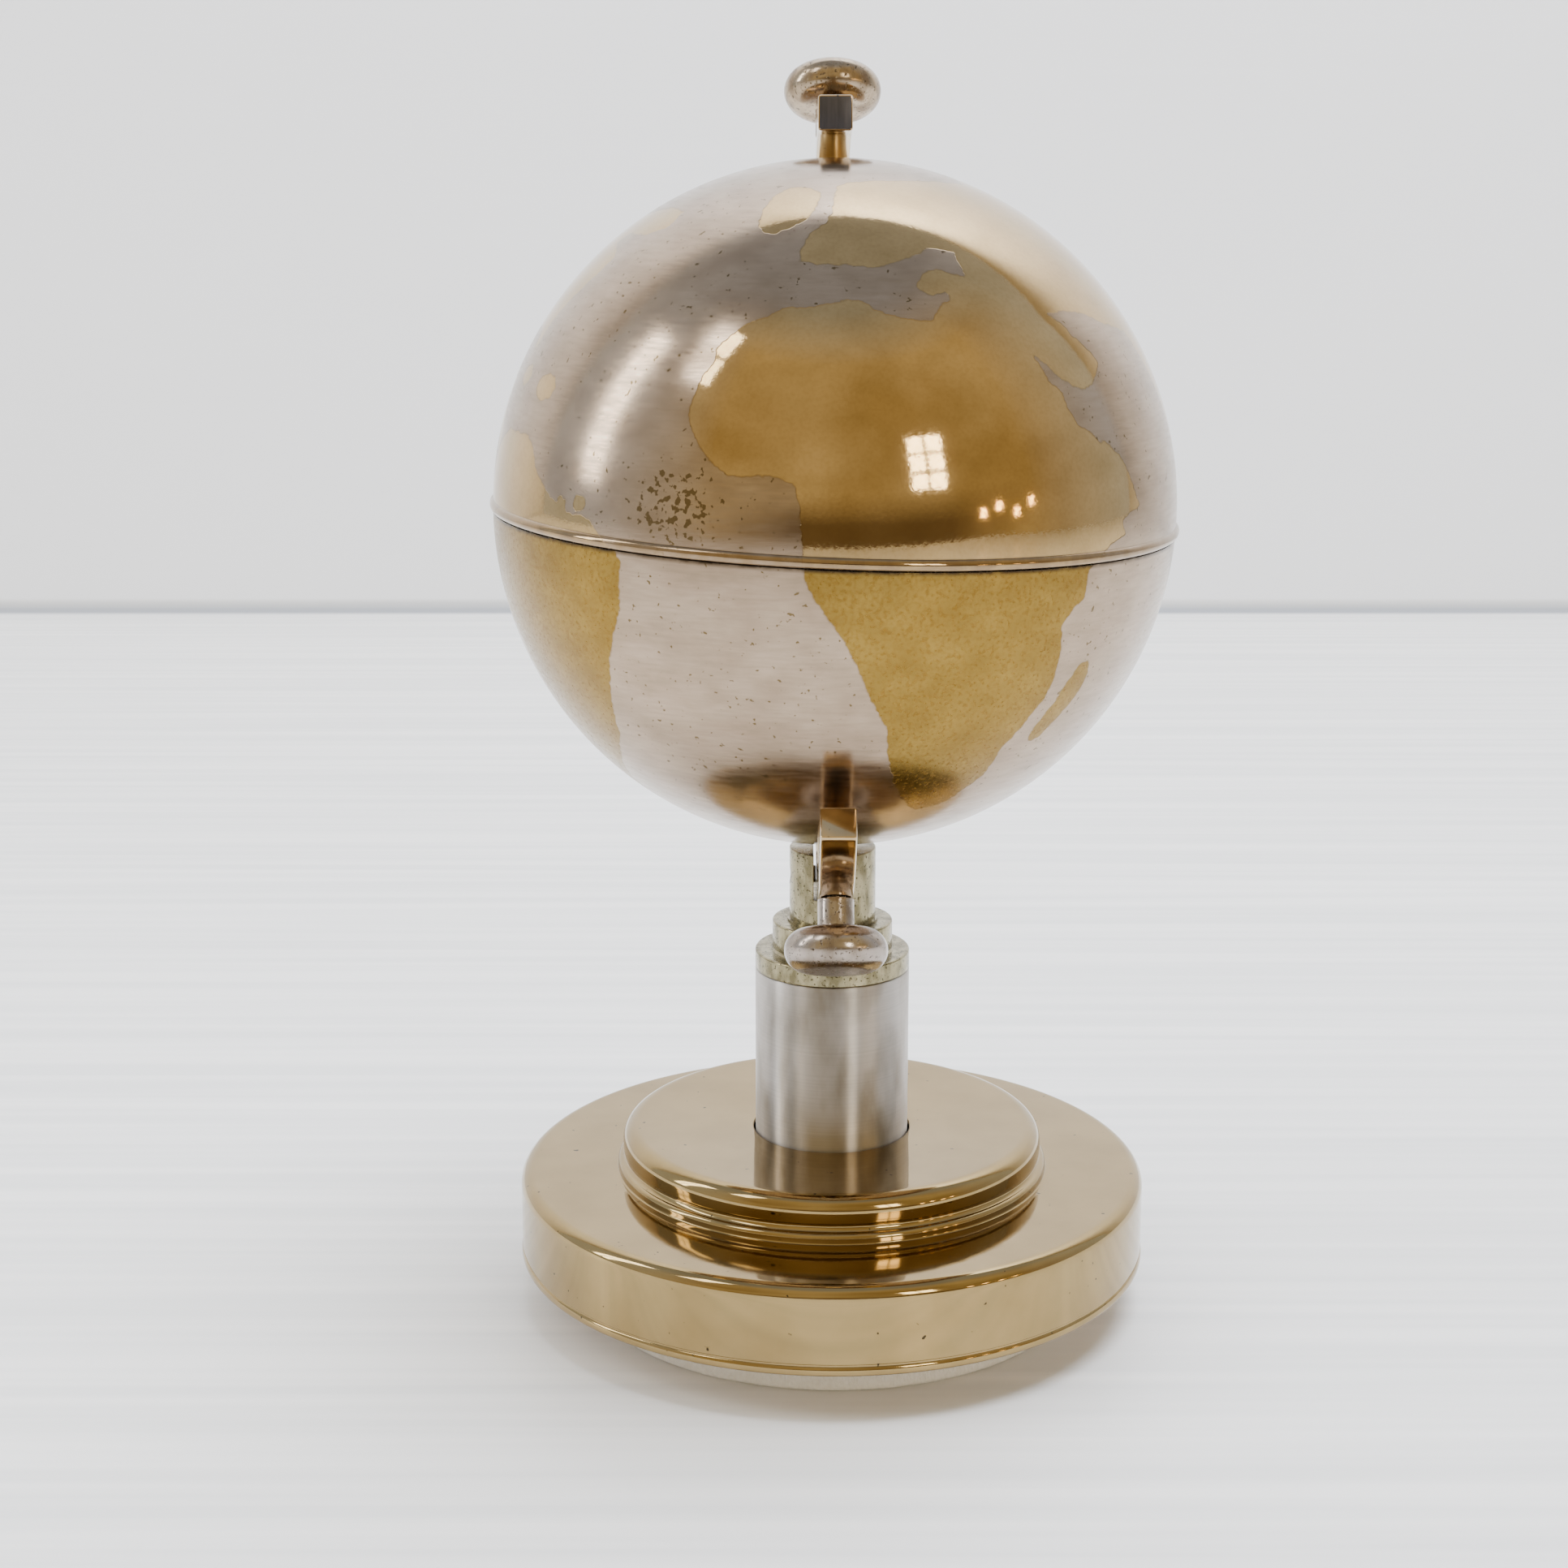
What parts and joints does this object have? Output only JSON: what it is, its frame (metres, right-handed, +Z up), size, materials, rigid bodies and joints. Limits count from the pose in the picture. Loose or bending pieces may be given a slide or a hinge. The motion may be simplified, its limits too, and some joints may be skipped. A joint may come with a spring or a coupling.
{
  "type": "desktop globe on stand",
  "caption": "Metal desk globe on a tilted axle in a square-bar meridian that slides in a slotted post, on a turned column and a stepped round base with a felt pad",
  "frame": {"origin": "centre of the underside of the felt pad", "axes": "+Z up, front towards -Y, the meridian bar in the plane x = 0, the axle's upper end leaning to +Y"},
  "size_m": [0.1009, 0.1093, 0.1878],
  "materials": {
    "felt": "thick white felt",
    "pale_brass": "pale brass, mirror polish, small dark specks",
    "board": "plain fibreboard",
    "iron": "rough casting",
    "steel": "zinc-plated steel",
    "turned_aluminium": "fine turned lines, polished",
    "aged_nickel": "nickel plate on brass, mottled with age",
    "nylon": "natural nylon",
    "bar_brass": "polished bar with worn plating",
    "globe_metal": "satin nickel plate, polished to brass where there is land",
    "inner_brass": "plain brass",
    "knob_nickel": "polished nickel plate, worn"
  },
  "bodies": {
    "stand": {"felt_pad": "felt", "base_shell": "pale_brass", "base_board": "board", "base_weight": "iron", "tie_rod": "steel", "tie_nut": "steel", "tie_washer": "steel", "column": "turned_aluminium", "collar_lower": "aged_nickel", "collar_upper": "aged_nickel", "post": "aged_nickel", "clamp_screw": "steel", "clamp_tip": "nylon"},
    "meridian": {"meridian_arc": "bar_brass"},
    "globe": {"upper_shell": "globe_metal", "lower_shell": "globe_metal", "joint_ring": "inner_brass", "axle": "steel", "north_knob": "knob_nickel", "south_knob": "knob_nickel", "north_spacer": "bar_brass", "south_spacer": "bar_brass", "north_boss": "inner_brass", "south_boss": "inner_brass"}
  },
  "joints": [
    {"name": "meridian_slide", "type": "hinge", "parent": "stand", "child": "meridian", "pos_m": [0, 0, 0.1233], "axis": [1, 0, 0], "range_deg": [-136, 8]},
    {"name": "globe_spin", "type": "hinge", "parent": "meridian", "child": "globe", "pos_m": [0, 0, 0.1233], "axis": [0, 0.4384, 0.8988], "continuous": true}
  ]
}
